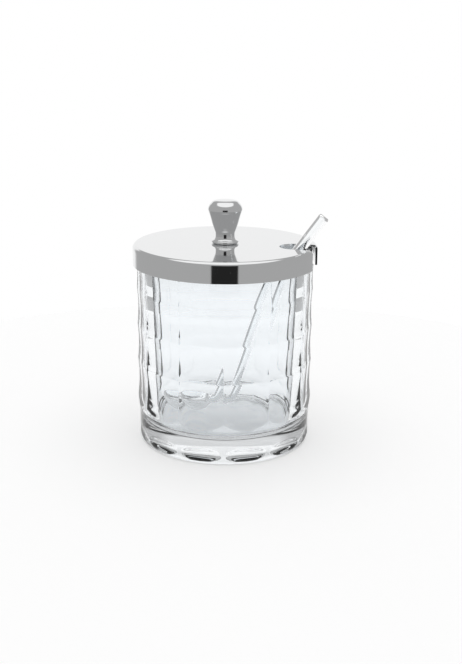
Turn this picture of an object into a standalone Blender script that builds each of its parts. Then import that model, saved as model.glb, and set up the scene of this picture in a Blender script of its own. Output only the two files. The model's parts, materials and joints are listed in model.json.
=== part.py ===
"""Glass sugar bowl: a faceted jar, a slotted steel lid with a turned knob, and a glass spoon.

Metres, +Z up. The origin is on the jar's axis, at the table. Run it in Blender 4.5.
"""

from math import cos, pi, radians, sin, sqrt

import bmesh
import bpy
from mathutils import Matrix, Vector

GAP = 0.0003  # clearance between pieces that rest on or in each other

# Jar: twelve flat columns, cut across by rows of shallow hollows
FACETS = 12
RIDGE_R = 0.0433  # where two columns and two rows meet
FIRST_ROW = 0.0223  # height of the lowest ridge between rows
ROW = 0.0181  # height of one row
FULL_ROWS = 3
TOP_ROW = 0.0122  # the shorter row under the lid
ROW_HOLLOW = 0.00055
BASE_R = 0.0425
FOOT_R = 0.0406
HEEL = 0.0043
NECK_R = 0.0424
RIM = 0.0979
RIM_ROUND = 0.0009
FLOOR = 0.0103
FLOOR_CORNER = 0.006
BORE_FLOOR_R = 0.0375
BORE_RIM_R = 0.0401
BASE_TOP = 0.0158  # below this height the jar is round
THUMB_HALF = Vector((0.004, 0.0265, 0.0037))  # half sizes of the dented spot: deep, wide, high
THUMB_DEPTH = 0.0011
THUMB_Z = 0.0050

# Lid: a drawn cap of sheet steel
LID_R = 0.045
LID_TOP = 0.0992
LID_HEIGHT = 0.0099
LID_CORNER = 0.002
SHEET = 0.001
SLOT_TURN = radians(-13.7)  # how far the lid is turned on the jar
SLOT_HALF = 0.0068
SLOT_END = 0.03395  # radius of the centre of the slot's round end

# Knob, with the screw and washer that hold it
KNOB_FOOT_R = 0.0066
KNOB_WAIST_R = 0.0047
KNOB_HEAD_R = 0.0084
KNOB_HEIGHT = 0.0207
SCREW_R = 0.0017
SCREW_HEAD_R = 0.0036
SCREW_HEAD = 0.0022
SCREW_REACH = 0.0075  # length of shank inside the knob
WASHER_R = 0.0046
WASHER = 0.0008
HOLE_R = SCREW_R + GAP

# Spoon: it lies in a plane along the slot, near the slot's front side
ROD_R = 0.00275
LEAN_GAP = 0.0016  # between the rod and that side
SPOON_SIDE = -(SLOT_HALF - ROD_R - LEAN_GAP)
BOWL_HALF = Vector((0.0150, 0.0100, 0.0095))
BOWL_MIDDLE = -0.0165
BOWL_WALL = 0.0018
BOWL_RIM = FLOOR + GAP + BOWL_HALF.z
# The bent handle, hand-laid from the bowl's edge to its free end: (along the slot, height)
HANDLE = (
    (-0.0050, 0.0165),
    (-0.0010, 0.0185),
    (0.0020, 0.0225),
    (0.0060, 0.0312),
    (0.0121, 0.0472),
    (0.0190, 0.0655),
    (0.0266, 0.0825),
    (0.0376, 0.0991),
    (0.0490, 0.1150),
)


def clear_scene():
    for obj in list(bpy.data.objects):
        bpy.data.objects.remove(obj)


def material(name, color, roughness, metallic=0.0, alpha=1.0):
    """A plain Principled material."""
    made = bpy.data.materials.new(name)
    made.use_nodes = True
    shader = made.node_tree.nodes["Principled BSDF"]
    shader.inputs["Base Color"].default_value = (*color, 1.0)
    shader.inputs["Roughness"].default_value = roughness
    shader.inputs["Metallic"].default_value = metallic
    shader.inputs["Alpha"].default_value = alpha
    made.diffuse_color = (*color, alpha)
    return made


def collection(name, hidden=False):
    made = bpy.data.collections.new(name)
    bpy.context.scene.collection.children.link(made)
    made.hide_render = hidden
    return made


def place(obj, home, parent=None, finish=None):
    """Put a new object in its collection, under its empty, with its material."""
    home.objects.link(obj)
    obj.parent = parent
    if finish:
        obj.data.materials.append(finish)
    return obj


def as_cutter(obj):
    obj.hide_render = True
    obj.display_type = "WIRE"
    return obj


def arc(middle, radius, start, end, steps):
    """Points of an arc in the profile plane, from one angle to another, in degrees."""
    angles = [radians(start + (end - start) * i / steps) for i in range(steps + 1)]
    return [(middle[0] + radius * cos(a), middle[1] + radius * sin(a)) for a in angles]


def turned(name, profile, steps, closed=False):
    """A solid of revolution: a profile of (radius, height), outer side downwards, with a Screw."""
    mesh = bpy.data.meshes.new(name)
    points = [(r, 0.0, z) for r, z in profile]
    edges = [(i, i + 1) for i in range(len(points) - 1)]
    if closed:
        edges.append((len(points) - 1, 0))
    mesh.from_pydata(points, edges, [])
    obj = bpy.data.objects.new(name, mesh)
    screw = obj.modifiers.new("turn", "SCREW")
    screw.steps = screw.render_steps = steps
    screw.use_merge_vertices = True
    screw.merge_threshold = 0.00001
    screw.use_smooth_shade = True
    return obj


def cut(obj, other, operation="DIFFERENCE"):
    boolean = obj.modifiers.new(other.name, "BOOLEAN")
    boolean.operation = operation
    boolean.object = other
    return boolean


def row_profile():
    """The column's ridge from the neck down: each row is a shallow circular hollow. At the base the
    columns stand so far out that only the round envelope shows."""
    tops = [FIRST_ROW + ROW * (i + 1) for i in range(FULL_ROWS)]
    rows = [(top - ROW, top) for top in tops]
    rows.append((tops[-1], tops[-1] + TOP_ROW))
    steps = 6
    points = [(RIDGE_R, RIM), (RIDGE_R, rows[-1][1])]
    for low, high in reversed(rows):
        depth = ROW_HOLLOW * ((high - low) / ROW) ** 2
        for i in range(1, steps + 1):
            across = 1 - 2 * i / steps
            points.append((RIDGE_R - depth * (1 - across**2), high + (low - high) * i / steps))
    clear = BASE_R / cos(pi / FACETS) + 0.0002
    return [(0.0, RIM), *points, (clear, BASE_TOP), (clear, 0.0), (0.0, 0.0)]


def envelope_profile():
    """The round shape that the columns are cut to: a neck under the lid, and a base with a rounded heel."""
    outer = RIDGE_R + 0.0001
    shoulder = FIRST_ROW + ROW * FULL_ROWS + TOP_ROW
    points = [(0.0, RIM), (NECK_R - RIM_ROUND, RIM)]
    points += arc((NECK_R - RIM_ROUND, RIM - RIM_ROUND), RIM_ROUND, 60, 0, 2)
    points += [(NECK_R, shoulder + 0.001), (outer, shoulder)]
    fall = [(1 + cos(pi * i / 5)) / 2 for i in range(6)]
    points += [(BASE_R + (outer - BASE_R) * f, FIRST_ROW - (FIRST_ROW - BASE_TOP) * i / 5)
               for i, f in enumerate(fall)]
    points += [(FOOT_R + (BASE_R - FOOT_R) * sin(a), HEEL * (1 - cos(a)))
               for a in (radians(90 - 90 * i / 5) for i in range(6))]
    return [*points, (0.0, 0.0)]


def bore_profile():
    """The hollow of the jar, as a cutter that stands proud of the rim."""
    corner = (BORE_FLOOR_R - FLOOR_CORNER, FLOOR + FLOOR_CORNER)
    lip = (BORE_RIM_R + RIM_ROUND, RIM - RIM_ROUND)
    points = [(0.0, RIM + 0.005), (lip[0], RIM + 0.005), (lip[0], RIM)]
    points += arc(lip, RIM_ROUND, 120, 180, 2)
    points += arc(corner, FLOOR_CORNER, 0, -90, 5)
    return [*points, (0.0, FLOOR)]


def raised_cutter(name, outline, low, high, home, parent):
    """A flat outline of (x, y) points, raised into a straight-sided cutter."""
    shape = bmesh.new()
    face = shape.faces.new([shape.verts.new((x, y, low)) for x, y in outline])
    raised = bmesh.ops.extrude_face_region(shape, geom=[face])
    top = [v for v in raised["geom"] if isinstance(v, bmesh.types.BMVert)]
    bmesh.ops.translate(shape, verts=top, vec=(0, 0, high - low))
    bmesh.ops.recalc_face_normals(shape, faces=shape.faces)
    mesh = bpy.data.meshes.new(name)
    shape.to_mesh(mesh)
    shape.free()
    return as_cutter(place(bpy.data.objects.new(name, mesh), home, parent))


def thumb_cutters(home):
    """Twelve flattened balls, one at the foot of each column, as one cutter."""
    shape = bmesh.new()
    for i in range(FACETS):
        turn = Matrix.Rotation(2 * pi * (i + 0.5) / FACETS, 4, "Z")
        out = Matrix.Translation((BASE_R + THUMB_HALF.x - THUMB_DEPTH, 0, THUMB_Z))
        size = Matrix.Diagonal((*THUMB_HALF, 1))
        bmesh.ops.create_uvsphere(
            shape, u_segments=16, v_segments=10, radius=1, matrix=turn @ out @ size
        )
    mesh = bpy.data.meshes.new("thumb_cutters")
    shape.to_mesh(mesh)
    shape.free()
    return as_cutter(place(bpy.data.objects.new("thumb_cutters", mesh), home))


def make_jar(parts, cutters, glass):
    jar = place(turned("glass_jar", row_profile(), FACETS), parts, None, glass)
    envelope = as_cutter(place(turned("jar_envelope", envelope_profile(), 72), cutters))
    bore = as_cutter(place(turned("jar_bore", bore_profile(), 72), cutters))
    cut(jar, envelope, "INTERSECT")
    cut(jar, thumb_cutters(cutters))
    cut(jar, bore)
    return jar


def cap_profile():
    """The lid's section, all round: top sheet, rolled corner, skirt, and back inside."""
    inner = LID_R - SHEET
    middle = (LID_R - LID_CORNER, LID_TOP - LID_CORNER)
    foot = LID_TOP - LID_HEIGHT
    outside = [(HOLE_R, LID_TOP), *arc(middle, LID_CORNER, 90, 0, 5)]
    inside = [*arc(middle, LID_CORNER - SHEET, 0, 90, 4), (HOLE_R, LID_TOP - SHEET)]
    return [*outside, (LID_R, foot), (inner, foot), *inside]


def slot_cutter(home, lid):
    """The slot's outline, a round end and two straight sides, raised through the lid."""
    steps = 14
    angles = [pi / 2 + pi * i / steps for i in range(steps + 1)]
    outline = [(SLOT_END + SLOT_HALF * cos(a), SLOT_HALF * sin(a)) for a in angles]
    outline += [(LID_R * 1.2, -SLOT_HALF), (LID_R * 1.2, SLOT_HALF)]
    low, high = LID_TOP - LID_HEIGHT * 1.5, LID_TOP + LID_HEIGHT * 0.5
    return raised_cutter("slot_cutter", outline, low, high, home, lid)


def knob_profile():
    """A bell-shaped knob: domed head, cone to the waist, flange, and a blind hole for the screw."""
    foot = LID_TOP + GAP
    top = foot + KNOB_HEIGHT
    waist = foot + 0.0045
    crown = [(KNOB_HEAD_R * f, top - 0.0045 * (1 - sqrt(1 - f**3))) for f in (0, 0.35, 0.6, 0.8, 0.93)]
    shoulder = [(KNOB_HEAD_R, top - 0.0041), (KNOB_HEAD_R * 0.95, top - 0.0060)]
    neck = [(KNOB_WAIST_R + 0.0006, waist + 0.0018), (KNOB_WAIST_R, waist)]
    sweep = [(KNOB_WAIST_R + 0.0019 * (1 - cos(a)), waist - 0.0032 * sin(a))
             for a in (radians(30 * i) for i in (1, 2, 3))]
    flange = [(KNOB_FOOT_R, foot + 0.0009), (KNOB_FOOT_R, foot), (HOLE_R, foot)]
    hole_top = foot + SCREW_REACH + GAP
    return [*crown, *shoulder, *neck, *sweep, *flange, (HOLE_R, hole_top), (0.0, hole_top)]


def screw_profile():
    """A pan-head screw, head down, with its shank up into the knob."""
    head_top = LID_TOP - SHEET - WASHER - 2 * GAP
    head_foot = head_top - SCREW_HEAD
    tip = LID_TOP + GAP + SCREW_REACH
    shank = [(0.0, tip), (SCREW_R * 0.7, tip), (SCREW_R, tip - 0.0005), (SCREW_R, head_top)]
    head = [(SCREW_HEAD_R, head_top), (SCREW_HEAD_R, head_foot + 0.0009)]
    return [*shank, *head, (SCREW_HEAD_R - 0.0008, head_foot + 0.0001), (0.0, head_foot)]


def washer_profile():
    top = LID_TOP - SHEET - GAP
    return [(HOLE_R, top), (WASHER_R, top), (WASHER_R, top - WASHER), (HOLE_R, top - WASHER)]


def driver_cutter(home, lid):
    """The cross in the screw's head, as one twelve-cornered outline."""
    long, narrow, deep = 0.0021, 0.0005, 0.0012
    foot = LID_TOP - SHEET - WASHER - 2 * GAP - SCREW_HEAD
    corners = [(long, -narrow), (long, narrow), (narrow, narrow)]
    outline = [tuple(Matrix.Rotation(i * pi / 2, 2) @ Vector(c)) for i in range(4) for c in corners]
    return raised_cutter("driver_cutter", outline, foot - deep, foot + deep, home, lid)


def make_lid(parts, cutters, steel):
    """The cap with its knob, screw and washer, all under one empty on the axis."""
    axis = place(bpy.data.objects.new("lid_axis", None), parts)
    axis.rotation_euler.z = SLOT_TURN
    cap = place(turned("lid_cap", cap_profile(), 80, closed=True), parts, axis, steel)
    cut(cap, slot_cutter(cutters, axis))
    place(turned("knob", knob_profile(), 40), parts, axis, steel)
    screw = place(turned("knob_screw", screw_profile(), 24), parts, axis, steel)
    cut(screw, driver_cutter(cutters, axis))
    place(turned("screw_washer", washer_profile(), 32, closed=True), parts, axis, steel)
    return axis


def rod_mesh(name, path):
    """A round rod along a smooth curve through the path, as a welded mesh with flat ends."""
    curve = bpy.data.curves.new(name, "CURVE")
    curve.dimensions = "3D"
    curve.bevel_depth = ROD_R
    curve.bevel_resolution = 4
    curve.use_fill_caps = True
    curve.resolution_u = 4
    line = curve.splines.new("BEZIER")
    line.bezier_points.add(len(path) - 1)
    for point, (x, z) in zip(line.bezier_points, path):
        point.co = (x, 0, z)
        point.handle_left_type = point.handle_right_type = "AUTO"
    guide = bpy.data.objects.new(name, curve)
    bpy.context.scene.collection.objects.link(guide)
    graph = bpy.context.evaluated_depsgraph_get()
    mesh = bpy.data.meshes.new_from_object(guide.evaluated_get(graph))
    bpy.data.objects.remove(guide)
    shape = bmesh.new()
    shape.from_mesh(mesh)
    bmesh.ops.remove_doubles(shape, verts=shape.verts, dist=0.00001)
    shape.to_mesh(mesh)
    shape.free()
    mesh.shade_smooth()
    return mesh


def ellipsoid_mesh(name, half, halved):
    """An ellipsoid at the bowl's rim, or its lower half closed by a flat top."""
    shape = bmesh.new()
    stand = Matrix.Translation((BOWL_MIDDLE, 0, BOWL_RIM)) @ Matrix.Diagonal((*half, 1))
    bmesh.ops.create_uvsphere(shape, u_segments=28, v_segments=16, radius=1, matrix=stand)
    if halved:
        cut_at = bmesh.ops.bisect_plane(
            shape,
            geom=[*shape.verts, *shape.edges, *shape.faces],
            plane_co=(0, 0, BOWL_RIM - GAP / 10),
            plane_no=(0, 0, 1),
            clear_outer=True,
        )
        rim = [e for e in cut_at["geom_cut"] if isinstance(e, bmesh.types.BMEdge)]
        bmesh.ops.contextual_create(shape, geom=rim)
    bmesh.ops.recalc_face_normals(shape, faces=shape.faces)
    mesh = bpy.data.meshes.new(name)
    shape.to_mesh(mesh)
    shape.free()
    mesh.shade_smooth()
    return mesh


def make_spoon(parts, cutters, glass):
    """The spoon in its own upright plane: the bowl's outside, joined to the bent rod, then hollowed."""
    axis = place(bpy.data.objects.new("spoon_axis", None), parts)
    axis.rotation_euler.z = SLOT_TURN
    axis.location = Matrix.Rotation(SLOT_TURN, 3, "Z") @ Vector((0, SPOON_SIDE, 0))
    outside = bpy.data.objects.new("spoon", ellipsoid_mesh("spoon", BOWL_HALF, True))
    spoon = place(outside, parts, axis, glass)
    rod = bpy.data.objects.new("spoon_rod", rod_mesh("spoon_rod", HANDLE))
    cut(spoon, as_cutter(place(rod, cutters, axis)), "UNION")
    inner = [half - BOWL_WALL for half in BOWL_HALF]
    hollow = bpy.data.objects.new("bowl_hollow", ellipsoid_mesh("bowl_hollow", inner, False))
    cut(spoon, as_cutter(place(hollow, cutters, axis)))
    return spoon


def main():
    clear_scene()
    parts = collection("sugar_bowl")
    cutters = collection("cutters", hidden=True)
    glass = material("clear_glass", (0.93, 0.97, 0.98), 0.02, alpha=0.35)
    steel = material("polished_steel", (0.72, 0.71, 0.70), 0.08, metallic=1.0)
    make_jar(parts, cutters, glass)
    make_lid(parts, cutters, steel)
    make_spoon(parts, cutters, glass)


main()
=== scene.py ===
# %% [markdown]
# # A pressed glass sugar bowl with a steel lid
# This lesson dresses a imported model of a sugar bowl: a twelve-sided glass jar, a polished lid with a slot,
# a turned knob, and a glass spoon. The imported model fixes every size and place. Each piece below is a surface
# worked out with numpy on a grid, and it rides on the body that moves it. Only the hidden screw and washer keep
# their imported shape. Units are metres, and +Z is up.

# %% Load the fixed frame
import json
from math import cos, pi, radians, sin

import bpy
import numpy as np
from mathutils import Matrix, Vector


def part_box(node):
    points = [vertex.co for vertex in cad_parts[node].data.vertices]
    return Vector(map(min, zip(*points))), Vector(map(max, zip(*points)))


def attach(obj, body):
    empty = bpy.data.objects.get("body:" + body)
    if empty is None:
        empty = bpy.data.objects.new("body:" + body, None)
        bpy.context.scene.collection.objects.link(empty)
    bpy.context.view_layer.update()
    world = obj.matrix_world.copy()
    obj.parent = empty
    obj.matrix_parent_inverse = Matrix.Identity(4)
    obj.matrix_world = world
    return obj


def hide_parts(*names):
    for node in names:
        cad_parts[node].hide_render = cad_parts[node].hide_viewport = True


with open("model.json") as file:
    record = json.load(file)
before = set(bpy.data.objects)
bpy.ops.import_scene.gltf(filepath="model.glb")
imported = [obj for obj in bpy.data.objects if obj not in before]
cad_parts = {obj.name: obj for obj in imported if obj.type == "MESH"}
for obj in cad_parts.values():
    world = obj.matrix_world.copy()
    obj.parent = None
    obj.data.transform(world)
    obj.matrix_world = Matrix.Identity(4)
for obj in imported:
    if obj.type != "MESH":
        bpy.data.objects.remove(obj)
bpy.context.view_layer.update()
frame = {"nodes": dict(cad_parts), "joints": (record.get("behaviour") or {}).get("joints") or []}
MM = 0.001

# %% [markdown]
# ## Where things are
# Every place comes from the frame. The boxes of the nodes give the rim, the lid and the knob, and the joint of
# the spoon tells which way the slot points, because the spoon is drawn up along the slot's plane.

# %% Read the sizes that the pieces share
jar_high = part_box("glass_jar")[1]
lid_low, lid_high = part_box("lid_cap")
knob_low, knob_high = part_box("knob")
spoon_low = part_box("spoon")[0]
RIM, RIDGE_R = jar_high.z, jar_high.x
LID_R, LID_TOP, SKIRT_FOOT = lid_high.y, lid_high.z, lid_low.z
spoon_joint = next(j for j in frame["joints"] if j["child"] == "spoon")
SLOT_TURN = np.arctan2(spoon_joint["axis"][1], spoon_joint["axis"][0])
print(f"rim {RIM:.4f}, ridge radius {RIDGE_R:.4f}, lid radius {LID_R:.4f}")
print(f"slot at {np.degrees(SLOT_TURN):.1f} degrees")

# %% [markdown]
# ## The camera
# A product camera stands about half a metre away, a little above the lid, and looks slightly down. Its long
# lens keeps the jar's sides nearly upright. The matrix is built from the three directions of the camera.

# %% Make the camera
DISTANCE, LOOK_DOWN, ROLL = 0.55215, radians(16.273), radians(0.408)
AIM = np.array([0.00318, 0.0, 0.05392])
LENS = 60.058

forward = np.array([0, cos(LOOK_DOWN), -sin(LOOK_DOWN)])
level_up = np.array([0, sin(LOOK_DOWN), cos(LOOK_DOWN)])
level_right = np.array([1.0, 0, 0])
right = cos(ROLL) * level_right + sin(ROLL) * level_up
up = cos(ROLL) * level_up - sin(ROLL) * level_right

camera_data = bpy.data.cameras.new("camera")
camera_data.lens = LENS
camera_data.clip_start = 0.01
camera = bpy.data.objects.new("camera", camera_data)
bpy.context.scene.collection.objects.link(camera)
pose = np.eye(4)
pose[:3, :3] = np.stack([right, up, -forward], axis=1)
pose[:3, 3] = AIM - DISTANCE * forward
camera.matrix_world = pose.T.tolist()
bpy.context.scene.camera = camera
print("camera at", np.round(pose[:3, 3], 4))

# %% [markdown]
# ## From a grid of points to a mesh
# A turned or pressed piece is a grid: rows run along its outline, and columns go round it. Each cell of the
# grid becomes a four-sided face, the last column joins the first, and a pole point closes each end.


# %% A helper that makes a closed mesh from rings
def mesh_object(name, points, faces):
    """A mesh object from an array of points and a list of index arrays, one per face size."""
    mesh = bpy.data.meshes.new(name)
    corners = np.concatenate([f.reshape(-1) for f in faces]).astype(np.int32)
    sizes = np.concatenate([np.full(len(f), f.shape[1]) for f in faces])
    starts = np.concatenate([[0], np.cumsum(sizes)[:-1]]).astype(np.int32)
    mesh.vertices.add(len(points))
    mesh.vertices.foreach_set("co", points.astype(np.float32).reshape(-1))
    mesh.loops.add(len(corners))
    mesh.loops.foreach_set("vertex_index", corners)
    mesh.polygons.add(len(sizes))
    mesh.polygons.foreach_set("loop_start", starts)
    mesh.update(calc_edges=True)
    mesh.shade_smooth()
    obj = bpy.data.objects.new(name, mesh)
    bpy.context.scene.collection.objects.link(obj)
    print(f"{name}: {len(points)} points, {len(sizes)} faces")
    return obj


def ring_mesh(name, rings, start_pole=None, end_pole=None, closed=False):
    """A mesh from rings, an array of (rows, columns, 3).

    A pole is a point that closes an end, and closed joins the last row to the first."""
    rows, columns, _ = rings.shape
    index = np.arange(rows * columns).reshape(rows, columns)
    if closed:
        index = np.concatenate([index, index[:1]])
    beside = np.roll(index, -1, axis=1)
    quads = np.stack([index[:-1], beside[:-1], beside[1:], index[1:]], axis=-1).reshape(-1, 4)
    points, faces = [rings.reshape(-1, 3)], [quads]
    fans = [(start_pole, index[0], beside[0], 1), (end_pole, index[-1], beside[-1], -1)]
    for pole, ring, after, order in fans:
        if pole is not None:
            tip = np.full(columns, sum(len(p) for p in points))
            faces.append(np.stack([tip, after, ring][::order], axis=-1))
            points.append(np.array([pole], float))
    return mesh_object(name, np.concatenate(points), faces)


def turn(radius, height, angle):
    """Rings of a turned shape: x = radius cos(angle), y = radius sin(angle).

    Radius and height are per row, or per row and column, and the angle is per column."""
    radius = np.broadcast_to(np.reshape(radius, (len(radius), -1)), (len(radius), len(angle)))
    height = np.broadcast_to(np.reshape(height, (len(height), -1)), radius.shape)
    return np.stack([radius * np.cos(angle), radius * np.sin(angle), height], axis=-1)


def arc(middle, radius, start, end, steps):
    """Points of an arc in the outline's plane, as an array of (radius, height), angles in degrees."""
    angle = np.radians(np.linspace(start, end, steps))
    return np.stack([middle[0] + radius * np.cos(angle), middle[1] + radius * np.sin(angle)], axis=-1)


def soft_min(values, width):
    """The least of the stacked values, with the kinks between them rounded over about that width."""
    low = values.min(axis=0)
    return low - width * np.log(np.exp((low - values) / width).sum(axis=0))


# %% [markdown]
# ## The jar's outside
# A press mould gives the jar twelve flat columns, and rows of shallow hollows cut across them, so ridges stand
# both ways. A column's flat is the curve r = d / cos(angle from its middle). A row's hollow is a parabola in
# height. The least of all these curves is the surface, and a soft least rounds the ridges as fire-polishing
# does. Below the rows the columns stand so far out that only the round base shows, with a dent under each.

# %% Work out the outside wall as a function of angle and height
FACETS = 12
FIRST_ROW, ROW, FULL_ROWS, TOP_ROW = 22.3 * MM, 18.1 * MM, 3, 12.2 * MM
HOLLOW = 0.55 * MM
BASE_R, FOOT_R, HEEL = 42.5 * MM, 40.6 * MM, 4.3 * MM
NECK_R, RIM_ROUND = 42.4 * MM, 0.9 * MM
RIDGE_SOFT = 0.05 * MM
BASE_TOP = 15.8 * MM
THUMB_Z, THUMB_HIGH, THUMB_WIDE, THUMB_DEPTH = 5.1 * MM, 3.0 * MM, 10.2 * MM, 1.1 * MM
SHOULDER = FIRST_ROW + ROW * FULL_ROWS + TOP_ROW


def smoothstep(value, low, high):
    """0 below low and 1 above high, with a smooth S-shaped rise between."""
    t = np.clip((value - low) / (high - low), 0, 1)
    return t * t * (3 - 2 * t)


def ridge_radius(z):
    """Radius of the upright ridges: a parabola for each row, and below the rows far enough out to leave only
    the round envelope."""
    lows = np.append(FIRST_ROW + ROW * np.arange(FULL_ROWS), SHOULDER - TOP_ROW)
    highs = np.append(lows[1:], SHOULDER)
    halves = (highs - lows) / 2
    depths = HOLLOW * (2 * halves / ROW) ** 2
    across = (z[None] - (lows + highs)[:, None] / 2) / halves[:, None]
    rows = RIDGE_R - depths[:, None] * (1 - across**2)
    rows = np.where(across < -1.0, 1.0, rows)
    clear = BASE_R / cos(pi / FACETS) + 4 * RIDGE_SOFT
    band = RIDGE_R + (clear - RIDGE_R) * smoothstep(-z, -FIRST_ROW, -BASE_TOP)
    return soft_min(np.concatenate([rows, band[None] + np.where(z > FIRST_ROW, 1.0, 0.0)]), RIDGE_SOFT)


def envelope_radius(z):
    """The round shape that the columns are cut to: a base with a rounded heel, and a plain neck above."""
    rise = np.clip(z / HEEL, 0, 1)
    heel = FOOT_R + (BASE_R - FOOT_R) * np.sqrt(1 - (1 - rise) ** 2)
    base = heel + (RIDGE_R + 3 * RIDGE_SOFT - BASE_R) * smoothstep(z, BASE_TOP, FIRST_ROW)
    return np.where(z > SHOULDER, NECK_R, base)


def wall_radius(angle, z):
    """The outside at every (height, angle): flats, rows, envelope, and the ring of oval dents at the heel."""
    middle = 2 * pi / FACETS * (np.arange(FACETS) + 0.5)
    off = (angle[None] - middle[:, None] + pi) % (2 * pi) - pi
    reach = np.where(np.abs(off) < 1.2, 1 / np.cos(np.clip(off, -1.2, 1.2)), 9.0)
    near = np.sort(reach, axis=0)[:2]
    flat = ridge_radius(z)[None, :, None] * cos(pi / FACETS) * near[:, None, :]
    around = envelope_radius(z)[None, :, None] + np.zeros_like(flat[:1])
    radius = soft_min(np.concatenate([flat, around]), RIDGE_SOFT)
    across = (angle % (2 * pi / FACETS)) - pi / FACETS
    oval = 1 - ((z - THUMB_Z) / THUMB_HIGH)[:, None] ** 2 - (across * BASE_R / THUMB_WIDE)[None] ** 2
    return radius - THUMB_DEPTH * np.clip(oval, 0, None)


# %% [markdown]
# ## The jar as one closed skin
# The outline starts under the base, runs out to the foot, up the pressed wall, over the fire-polished rim, down
# the smooth round bore and across the floor. Columns crowd near the upright ridges and rows near the level ones.

# %% Build the jar
BORE_RIM_R, BORE_FLOOR_R = 40.1 * MM, 37.5 * MM
FLOOR, FLOOR_CORNER = 10.3 * MM, 6.0 * MM
PUNT, PUNT_R, PUNT_FALL = 0.5 * MM, 33.0 * MM, 2.0 * MM
PER_FACET = 30


def crowded(low, high, count):
    """Numbers from low to high, closer together near both ends."""
    t = np.linspace(-1, 1, count, endpoint=False)
    return low + (high - low) * (0.5 + 0.5 * (0.4 * t + 0.6 * np.sin(pi / 2 * t)))


def make_jar():
    """One closed skin: rings under the base, up the wall, over the lip, down the bore and across the floor."""
    pitch = 2 * pi / FACETS
    angle = np.concatenate([crowded(i * pitch, (i + 1) * pitch, PER_FACET) for i in range(FACETS)])
    lean = np.linspace(0, pi / 2, 10)[1:]
    heel_z = HEEL * (1 - np.cos(lean))
    band_z = np.linspace(HEEL, FIRST_ROW, 34)[1:-1]
    row_z = [crowded(FIRST_ROW + ROW * i, FIRST_ROW + ROW * (i + 1), 22) for i in range(FULL_ROWS)]
    top_z = crowded(SHOULDER - TOP_ROW, SHOULDER, 16)
    neck_z = np.array([SHOULDER, SHOULDER + 0.4 * MM, SHOULDER + 1.2 * MM, RIM - RIM_ROUND])
    wall_z = np.concatenate([heel_z, band_z, *row_z, top_z, neck_z])
    wall = turn(wall_radius(angle, wall_z), wall_z, angle)

    punt_edge = PUNT_R + np.array([0.3, 0.6, 1.0, 2.0]) * PUNT_FALL
    under_r = np.concatenate([np.linspace(0, PUNT_R, 8)[1:], punt_edge, [FOOT_R]])
    fall = np.clip((under_r - PUNT_R) / PUNT_FALL, 0, 1)
    under_z = PUNT * (1 - fall**2)
    under = turn(under_r, under_z, angle)

    outer_lip = arc((0, RIM - RIM_ROUND), RIM_ROUND, 0, 90, 6)[1:]
    lip_r = wall_radius(angle, np.array([RIM - RIM_ROUND]))[0][None] - RIM_ROUND + outer_lip[:, :1]
    lip = turn(lip_r, outer_lip[:, 1], angle)
    inner_lip = arc((BORE_RIM_R + RIM_ROUND, RIM - RIM_ROUND), RIM_ROUND, 90, 180, 6)
    corner = arc((BORE_FLOOR_R - FLOOR_CORNER, FLOOR + FLOOR_CORNER), FLOOR_CORNER, 0, -90, 14)
    bore_z = np.linspace(inner_lip[-1, 1], corner[0, 1], 18)[1:-1]
    bore_r = np.interp(bore_z, [corner[0, 1], inner_lip[-1, 1]], [corner[0, 0], inner_lip[-1, 0]])
    floor_r = np.linspace(corner[-1, 0], 0, 8)[1:-1]
    inside = np.concatenate([inner_lip, np.stack([bore_r, bore_z], 1), corner,
                             np.stack([floor_r, np.full_like(floor_r, FLOOR)], 1)])
    bore = turn(inside[:, 0], inside[:, 1], angle)
    rings = np.concatenate([under, wall, lip, bore])
    return ring_mesh("jar_glass", rings, (0, 0, PUNT), (0, 0, FLOOR))


jar = make_jar()
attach(jar, "jar")
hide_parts("glass_jar")

# %% [markdown]
# ## The lid
# The lid is one sheet of steel, drawn into a shallow cap and then slotted from its edge. Here the outer skin is
# a grid whose first and last columns part along the slot's outline. Solidify gives the sheet its thickness,
# and a fine bevel breaks the cut edges as tumbling does on the real lid.

# %% Build the lid
SLOT_HALF, SLOT_END, SHEET = 6.8 * MM, 33.95 * MM, 1.0 * MM
LID_CORNER, HOLE_R = 2.0 * MM, 2.0 * MM
LID_COLUMNS = 241


def slot_half_angle(radius):
    """Half the angle that the slot takes at a radius: none inside its tip, then a round end by the cosine
    rule, then straight sides by arcsin(half width / radius)."""
    tip, shoulder = SLOT_END - SLOT_HALF, np.hypot(SLOT_END, SLOT_HALF)
    safe = np.clip(radius, tip, None)
    cosine = (safe**2 + SLOT_END**2 - SLOT_HALF**2) / (2 * safe * SLOT_END)
    round_end = np.arccos(np.clip(cosine, -1, 1))
    straight = np.arcsin(SLOT_HALF / np.clip(radius, shoulder, None))
    return np.where(radius <= tip + 1e-9, 0.0, np.where(radius < shoulder, round_end, straight))


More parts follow.
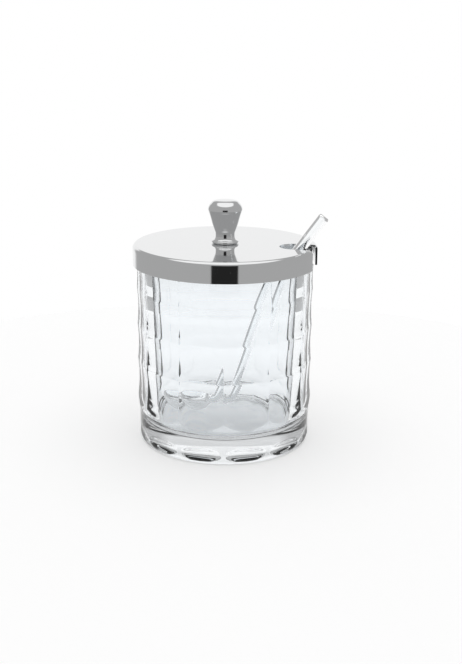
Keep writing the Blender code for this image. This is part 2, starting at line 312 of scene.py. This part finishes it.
def make_lid():
    """The outer skin as rings cut open along the slot, with the sheet's thickness and broken edges added."""
    turned = np.linspace(pi, pi / 2, 17)
    tip_r = np.sqrt(SLOT_END**2 + SLOT_HALF**2 + 2 * SLOT_END * SLOT_HALF * np.cos(turned))
    flat_r = np.concatenate([np.linspace(HOLE_R, tip_r[0], 20)[:-1], tip_r,
                             np.linspace(tip_r[-1], LID_R - LID_CORNER, 10)[1:-1]])
    rolled = arc((LID_R - LID_CORNER, LID_TOP - LID_CORNER), LID_CORNER, 90, 0, 12)
    skirt_z = np.linspace(LID_TOP - LID_CORNER, SKIRT_FOOT, 10)[1:]
    radius = np.concatenate([flat_r, rolled[:, 0], np.full_like(skirt_z, LID_R)])
    height = np.concatenate([np.full_like(flat_r, LID_TOP), rolled[:, 1], skirt_z])
    half = slot_half_angle(radius)[:, None]
    along = np.linspace(0, 1, LID_COLUMNS)[None]
    angle = SLOT_TURN + half + (2 * pi - 2 * half) * along
    points = np.stack([radius[:, None] * np.cos(angle), radius[:, None] * np.sin(angle),
                       np.repeat(height[:, None], LID_COLUMNS, 1)], axis=-1)
    index = np.arange(points.shape[0] * LID_COLUMNS).reshape(-1, LID_COLUMNS)
    whole = half[:, 0] == 0
    index[whole, -1] = index[whole, 0]
    quads = np.stack([index[1:, :-1], index[1:, 1:], index[:-1, 1:], index[:-1, :-1]], axis=-1)
    quads = quads.reshape(-1, 4)
    used, quads = np.unique(quads, return_inverse=True)
    lid = mesh_object("lid_sheet", points.reshape(-1, 3)[used], [quads.reshape(-1, 4)])
    wall = lid.modifiers.new("sheet", "SOLIDIFY")
    wall.thickness, wall.offset = SHEET, -1
    edge = lid.modifiers.new("broken_edges", "BEVEL")
    edge.width, edge.segments, edge.angle_limit = 0.18 * MM, 3, radians(50)
    edge.harden_normals = True
    return lid


lid = make_lid()
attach(lid, "lid")
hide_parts("lid_cap")

# %% [markdown]
# ## The knob and what holds it
# The knob is turned on a lathe: a domed head, a cone down to a waist, and a flange on the lid. Its outline is a
# smooth curve through a few points, and turning it on its axis gives the shape. The screw and the washer
# under the lid stay as they were packed, because nothing shows of them but plain steel.


# %% Build the knob
def smooth_line(points, steps):
    """A curve through the points: on each stretch, the cubic whose slopes come from the neighbours."""
    p = np.asarray(points, float)
    ahead = np.gradient(p, axis=0)
    t = np.linspace(0, 1, steps, endpoint=False)[None, :, None]
    a, b, da, db = p[:-1, None], p[1:, None], ahead[:-1, None], ahead[1:, None]
    line = a * (2 * t**3 - 3 * t**2 + 1) + b * (3 * t**2 - 2 * t**3)
    line = line + da * (t**3 - 2 * t**2 + t) + db * (t**3 - t**2)
    return np.concatenate([line.reshape(-1, p.shape[1]), p[-1:]])


def circle(columns):
    """Even angles once round, without the last one, which is the first again."""
    return np.linspace(0, 2 * pi, columns, endpoint=False)


def make_knob():
    """The lathe outline, (radius, height above the foot) in millimetres from the crown down, turned round."""
    foot, top = LID_TOP + 0.05 * MM, knob_high.z
    drop = knob_low.z
    crown = [(2.0, 20.68), (3.6, 20.62), (5.0, 20.45), (6.1, 20.05), (6.9, 19.35), (7.6, 18.5),
             (8.15, 17.4), (8.39, 16.5), (8.27, 15.6), (7.95, 14.7), (7.04, 11.9), (6.5, 9.9),
             (5.95, 8.2), (5.3, 6.4), (4.8, 5.0), (4.7, 3.6), (4.8, 2.6), (5.2, 1.85), (5.75, 1.35)]
    outline = smooth_line(np.array(crown) * MM + [0, drop], 6)
    flange = arc((6.0 * MM, drop + 0.62 * MM), 0.62 * MM, 80, -75, 14)
    outline = np.concatenate([outline, flange, [(6.0 * MM, foot), (2.2 * MM, foot)]])[::-1]
    angle = circle(128)
    return ring_mesh("knob_turned", turn(outline[:, 0], outline[:, 1], angle), (0, 0, foot), (0, 0, top))


knob = make_knob()
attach(knob, "lid")
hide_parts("knob")

# %% [markdown]
# ## The spoon
# The spoon is one piece of glass, drawn from a rod and pressed into a bowl at its end. It is a sweep along one
# line: from the tip, level along the bowl's rim, then up the bent handle. Each section is an oval bent into a
# trough. Along the bowl the trough is wide and thin, and along the handle it has closed up to a round rod.

# %% Build the spoon
ROD_R = 2.75 * MM
SPOON_SIDE = -2.45 * MM
BOWL_MIDDLE, BOWL_LONG, BOWL_WIDE, BOWL_WALL = -16.3 * MM, 14.6 * MM, 10.1 * MM, 0.9 * MM
BOWL_RIM = spoon_low.z + 9.4 * MM
BOWL_DEEP, BOWL_FOOT = 5.4 * MM, 3.0 * MM
END_ROUND, END_TAPER = 1.0 * MM, 0.4
NECK = (-8.5 * MM, -1.0 * MM)  # where the bowl closes up to the rod
HANDLE_START = 20  # rows past the bowl's rim from which the section is only rod
HANDLE = [(0.2, 20.6), (2.6, 24.2), (5.6, 30.4), (8.8, 38.2), (12.1, 47.2), (15.5, 56.4),
          (19.0, 65.5), (22.6, 74.2), (26.7, 82.6), (32.0, 91.0), (37.6, 99.1), (43.3, 107.2), (48.9, 115.0)]


def make_spoon():
    """Ovals swept along the rim line and the handle: half width times cos(u), thickness times sin(u) with a
    power that turns a blunt oval into a circle, less the sag of the bowl times sin(u) squared."""
    psi = np.linspace(0.06, pi * 0.80, 46)
    bowl_s = BOWL_MIDDLE - BOWL_LONG * np.cos(psi)
    bowl_line = np.stack([bowl_s, np.full_like(bowl_s, BOWL_RIM)], 1)
    handle_line = smooth_line(np.concatenate([[bowl_line[-4], bowl_line[-1]], np.array(HANDLE) * MM]), 9)[9:]
    line = np.concatenate([bowl_line[:-1], handle_line])
    ahead = np.gradient(line, axis=0)
    ahead /= np.linalg.norm(ahead, axis=1)[:, None]
    above = np.stack([-ahead[:, 1], ahead[:, 0]], 1)

    s = line[:, 0]
    past_bowl = len(bowl_line) + HANDLE_START
    rod = smoothstep(s, *NECK)
    rod[past_bowl:] = 1.0
    inside = np.clip(1 - ((s - BOWL_MIDDLE) / BOWL_LONG) ** 2, 0, 1)
    inside[past_bowl:] = 0.0
    half_width = np.sqrt(inside) * (BOWL_WIDE - BOWL_WALL) * (1 - rod)
    sag = np.sqrt(inside) * BOWL_DEEP * (1 - rod)
    foot = inside * BOWL_FOOT * (1 - rod)
    thick = BOWL_WALL + (ROD_R - BOWL_WALL) * rod
    run = np.concatenate([[0], np.cumsum(np.linalg.norm(np.diff(line, axis=0), axis=1))])
    to_end = run[-1] - run
    near_end = 1 - np.clip(to_end / END_ROUND, 0, 1)
    thick = thick * np.sqrt(1 - END_TAPER * near_end**2)
    blunt = 0.5 + 0.5 * rod

    u = circle(96)
    side = np.cos(u)[None] * (half_width + thick)[:, None]
    lift = np.sign(np.sin(u))[None] * np.abs(np.sin(u))[None] ** blunt[:, None] * thick[:, None]
    below = np.clip(-np.sin(u), 0, 1)[None] ** 2
    lift = lift - (sag[:, None] + foot[:, None] * below) * (np.sin(u) ** 2)[None]
    along = line[:, None, 0] + above[:, None, 0] * lift
    height = line[:, None, 1] + above[:, None, 1] * lift
    across = SPOON_SIDE + side
    c, n = np.array([cos(SLOT_TURN), sin(SLOT_TURN)]), np.array([-sin(SLOT_TURN), cos(SLOT_TURN)])
    x = along * c[0] + across * n[0]
    y = along * c[1] + across * n[1]
    rings = np.stack([x, y, height], axis=-1)
    return ring_mesh("spoon_glass", rings[:, ::-1], rings[0].mean(0), rings[-1].mean(0))


spoon = make_spoon()
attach(spoon, "spoon")
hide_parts("spoon")

# %% [markdown]
# ## Glass and steel
# Clear glass has a refractive index of about 1.52. Its pressed faces are never quite flat, so a weak noise tips
# the normal. The polished steel is an even metal, and a finer noise changes how sharp its polish is.


# %% Make the materials
def new_material(name):
    """A new material, its node tree and its Principled shader."""
    made = bpy.data.materials.new(name)
    made.use_nodes = True
    tree = made.node_tree
    return made, tree, tree.nodes["Principled BSDF"]


def link(tree, start, start_socket, end, end_socket):
    """Join an output of one node to an input of another, both by name."""
    tree.links.new(start.outputs[start_socket], end.inputs[end_socket])


def noise(tree, scale, detail):
    """A noise texture laid in the object's own coordinates."""
    place = tree.nodes.new("ShaderNodeTexCoord")
    made = tree.nodes.new("ShaderNodeTexNoise")
    made.inputs["Scale"].default_value = scale
    made.inputs["Detail"].default_value = detail
    link(tree, place, "Object", made, "Vector")
    return made


def glass_material(name, tint, wave):
    """Clear glass with a faint waviness in its surface."""
    made, tree, shader = new_material(name)
    shader.inputs["Base Color"].default_value = (*tint, 1)
    shader.inputs["Transmission Weight"].default_value = 1.0
    shader.inputs["Roughness"].default_value = 0.0
    shader.inputs["IOR"].default_value = 1.52
    bump = tree.nodes.new("ShaderNodeBump")
    bump.inputs["Strength"].default_value = wave
    bump.inputs["Distance"].default_value = 0.0002
    link(tree, noise(tree, 60, 1.0), "Fac", bump, "Height")
    link(tree, bump, "Normal", shader, "Normal")
    return made


def steel_material(name, color, rough_low, rough_high):
    """Polished steel whose polish varies a little from place to place."""
    made, tree, shader = new_material(name)
    shader.inputs["Base Color"].default_value = (*color, 1)
    shader.inputs["Metallic"].default_value = 1.0
    spread = tree.nodes.new("ShaderNodeMapRange")
    spread.inputs["To Min"].default_value = rough_low
    spread.inputs["To Max"].default_value = rough_high
    link(tree, noise(tree, 180, 3.0), "Fac", spread, "Value")
    link(tree, spread, "Result", shader, "Roughness")
    return made


clear_glass = glass_material("clear_glass", (0.965, 0.985, 1.0), 0.15)
spoon_glass = glass_material("spoon_glass", (0.975, 0.99, 1.0), 0.1)
polished_steel = steel_material("polished_steel", (0.785, 0.79, 0.795), 0.03, 0.08)
plain_steel = steel_material("plain_steel", (0.58, 0.58, 0.58), 0.2, 0.35)
finishes = ((jar, clear_glass), (spoon, spoon_glass), (lid, polished_steel), (knob, polished_steel))
for piece, finish in finishes:
    piece.data.materials.append(finish)
for name in ("knob_screw", "screw_washer"):
    frame["nodes"][name].data.materials.clear()
    frame["nodes"][name].data.materials.append(plain_steel)

# %% [markdown]
# ## Studio
# The floor is one even pale surface. The light is a plain soft studio: a white sweep behind, a grey room round
# the sides, a soft box overhead, and a dark gap in front where the camera stands. The backdrop shows as white.


# %% Light the set
def math_node(tree, operation, first, second=None):
    """A maths node fed by sockets or numbers, and its output socket."""
    made = tree.nodes.new("ShaderNodeMath")
    made.operation = operation
    for socket, value in zip(made.inputs, (first, second)):
        if isinstance(value, (int, float)):
            socket.default_value = value
        elif value is not None:
            tree.links.new(value, socket)
    return made.outputs[0]


def ramp_node(tree, value, stops):
    """A colour ramp of greys: stops are (place from 0 to 1, brightness)."""
    made = tree.nodes.new("ShaderNodeValToRGB")
    elements = made.color_ramp.elements
    while len(elements) < len(stops):
        elements.new(0.5)
    for element, (place, grey) in zip(elements, stops):
        element.position = place
        element.color = (grey, grey, grey, 1)
    tree.links.new(value, made.inputs["Fac"])
    return made.outputs["Color"]


def mix_node(tree, factor, first, second):
    """A mix of two colours, which are sockets or greys."""
    made = tree.nodes.new("ShaderNodeMix")
    made.data_type = "RGBA"
    tree.links.new(factor, made.inputs[0])
    for socket, value in ((made.inputs[6], first), (made.inputs[7], second)):
        if isinstance(value, (int, float)):
            socket.default_value = (value, value, value, 1)
        else:
            tree.links.new(value, socket)
    return made.outputs[2]


def blend(tree, value, low, high):
    """0 below low, 1 above high, and smooth between."""
    made = tree.nodes.new("ShaderNodeMapRange")
    made.interpolation_type = "SMOOTHSTEP"
    made.inputs["From Min"].default_value = low
    made.inputs["From Max"].default_value = high
    tree.links.new(value, made.inputs["Value"])
    return made.outputs["Result"]


def azimuth_and_height(tree):
    """The direction round the jar as 0 to 1, with the front at 0.5 and right above it, and the height."""
    place = tree.nodes.new("ShaderNodeTexCoord")
    split = tree.nodes.new("ShaderNodeSeparateXYZ")
    link(tree, place, "Generated", split, "Vector")
    x, y, z = split.outputs
    front = math_node(tree, "MULTIPLY", y, -1.0)
    angle = math_node(tree, "ARCTAN2", x, front)
    return math_node(tree, "ADD", math_node(tree, "DIVIDE", angle, 2 * pi), 0.5), z


def around(*stops):
    """Stops for a ramp round the jar, given as (degrees from the front, brightness)."""
    return [(0.5 + degrees / 360, grey) for degrees, grey in stops]


SWEEP, ROOM, GAP_DARK, OVERHEAD = 1.0, 0.45, 0.02, 1.1
ROUND = around((-180, SWEEP), (-150, SWEEP), (-140, ROOM), (-17, ROOM), (-16, GAP_DARK),
               (16, GAP_DARK), (17, ROOM), (140, ROOM), (150, SWEEP), (180, SWEEP))


def make_floor():
    """An even pale disc, with a little light of its own so that it stays as bright as the sweep."""
    floor_r = 0.26
    angle = circle(96)
    ring = np.stack([floor_r * np.cos(angle), floor_r * np.sin(angle), np.full_like(angle, -0.0001)], 1)
    floor = mesh_object("floor", ring, [np.arange(96)[None]])
    made, _, shader = new_material("pale_floor")
    shader.inputs["Base Color"].default_value = (0.85, 0.85, 0.85, 1)
    shader.inputs["Roughness"].default_value = 1.0
    shader.inputs["Specular IOR Level"].default_value = 0.0
    shader.inputs["Emission Color"].default_value = (1, 1, 1, 1)
    shader.inputs["Emission Strength"].default_value = 0.4
    floor.data.materials.append(made)


def make_world():
    """The soft light by direction: sweep, room and gap low down, an even room above, the soft box on top."""
    world = bpy.data.worlds.new("studio")
    bpy.context.scene.world = world
    world.use_nodes = True
    tree = world.node_tree
    shader = tree.nodes["Background"]
    share, z = azimuth_and_height(tree)
    glow = mix_node(tree, blend(tree, z, 0.32, 0.42), ramp_node(tree, share, ROUND), ROOM)
    glow = mix_node(tree, blend(tree, z, 0.76, 0.84), glow, OVERHEAD)
    path = tree.nodes.new("ShaderNodeLightPath")
    tree.links.new(mix_node(tree, path.outputs["Is Camera Ray"], glow, 1.0), shader.inputs["Color"])


make_floor()
make_world()
bpy.context.scene.view_settings.view_transform = "Standard"
